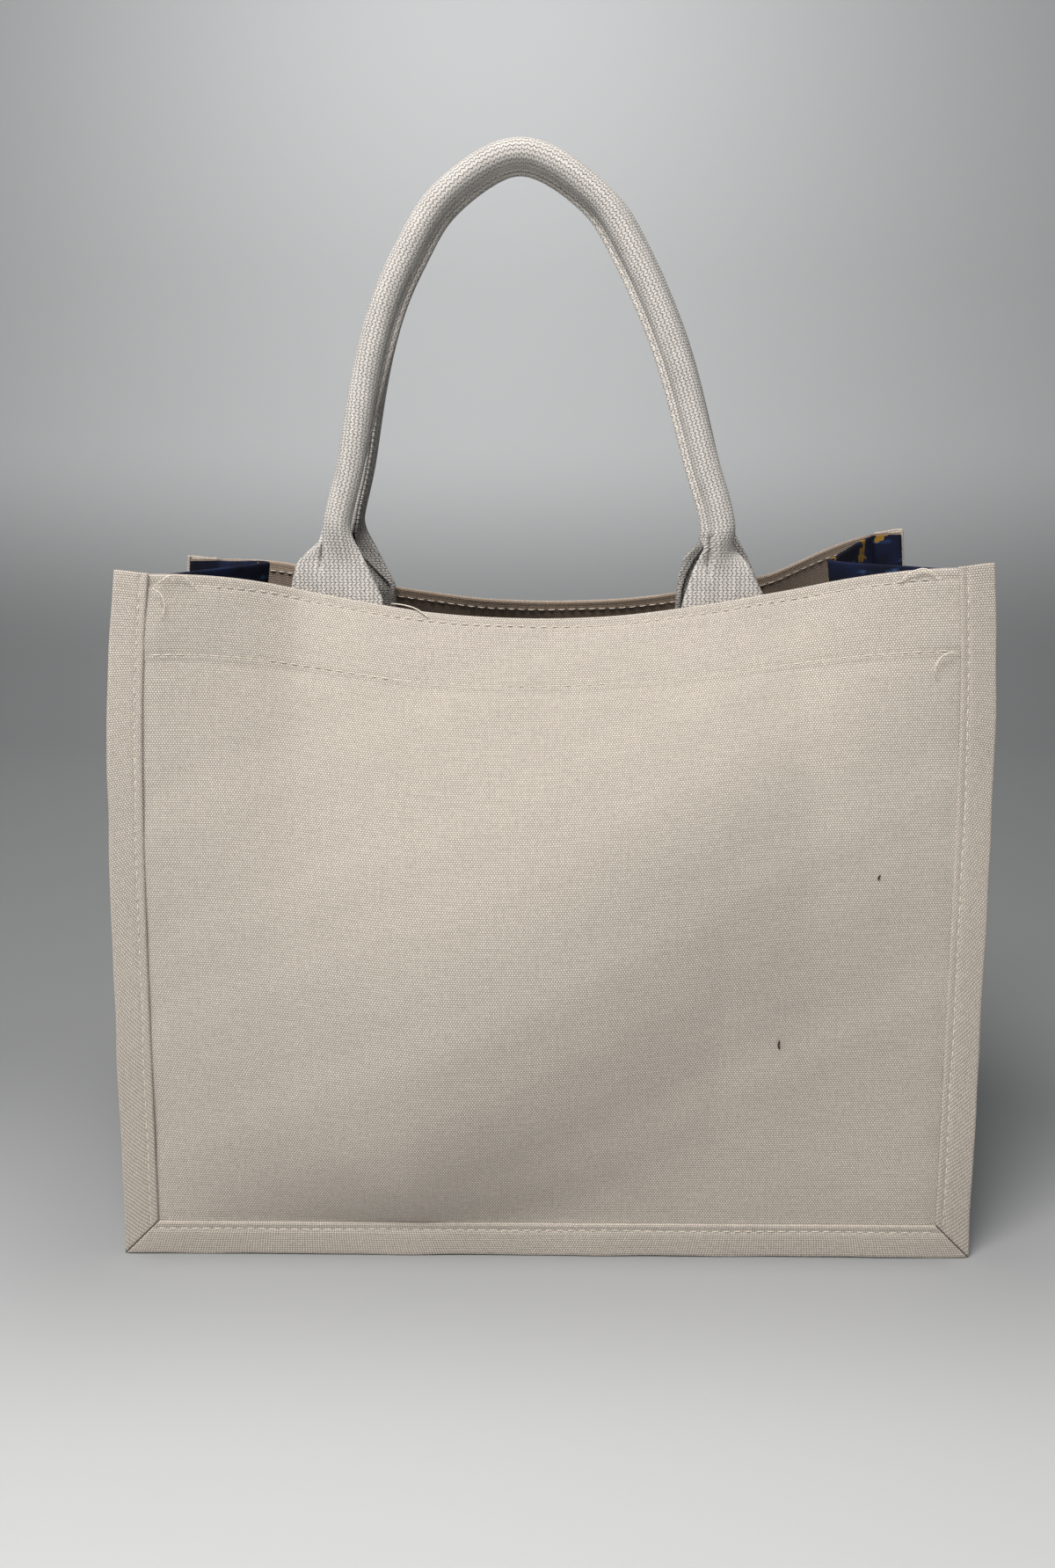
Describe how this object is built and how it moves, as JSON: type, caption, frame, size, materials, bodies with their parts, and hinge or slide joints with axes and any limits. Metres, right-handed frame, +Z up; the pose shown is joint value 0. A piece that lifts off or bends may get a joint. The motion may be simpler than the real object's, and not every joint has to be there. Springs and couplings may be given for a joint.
{
  "type": "canvas tote bag",
  "caption": "Open-topped canvas shopping tote with a folding printed gusset, raised edge strips and two padded webbing handles.",
  "frame": {"origin": "middle of the footprint, on the surface that the bag stands on", "axes": "+X along the bag's width to the right of someone facing its front, +Z up, and the front face looks towards -Y"},
  "size_m": [0.42, 0.2186, 0.5312],
  "materials": {
    "canvas": "natural undyed plain-weave canvas",
    "printed_cloth": "navy cotton canvas with a soft mottled print",
    "webbing": "off-white herringbone cotton webbing",
    "filler": "cotton filler cord",
    "thread": "matt sewing thread"
  },
  "bodies": {
    "bag": {"front_panel": "canvas", "front_left_edge_strip": "canvas", "front_right_edge_strip": "canvas", "front_bottom_edge_strip": "canvas", "front_edge_strip_stitching": "thread", "front_hem_upper_stitching": "thread", "front_hem_lower_stitching": "thread", "front_handle_left_end": "webbing", "front_handle_right_end": "webbing", "back_panel": "canvas", "back_left_edge_strip": "canvas", "back_right_edge_strip": "canvas", "back_bottom_edge_strip": "canvas", "back_edge_strip_stitching": "thread", "back_hem_upper_stitching": "thread", "back_hem_lower_stitching": "thread", "back_handle_left_end": "webbing", "back_handle_right_end": "webbing", "left_gusset": "printed_cloth", "left_gusset_hem_stitching": "thread", "right_gusset": "printed_cloth", "right_gusset_hem_stitching": "thread", "base_panel": "printed_cloth"},
    "front_handle": {"front_handle_sleeve": "webbing", "front_handle_filler": "filler", "front_handle_left_foot": "webbing", "front_handle_right_foot": "webbing", "front_handle_stitching": "thread"},
    "back_handle": {"back_handle_sleeve": "webbing", "back_handle_filler": "filler", "back_handle_left_foot": "webbing", "back_handle_right_foot": "webbing", "back_handle_stitching": "thread"}
  },
  "joints": [
    {"name": "front_handle_swing", "type": "hinge", "parent": "bag", "child": "front_handle", "pos_m": [0, -0.0385, 0.3225], "axis": [1, 0, 0], "range_deg": [0, 130]},
    {"name": "back_handle_swing", "type": "hinge", "parent": "bag", "child": "back_handle", "pos_m": [0, 0.0385, 0.3225], "axis": [-1, 0, 0], "range_deg": [0, 130]}
  ]
}
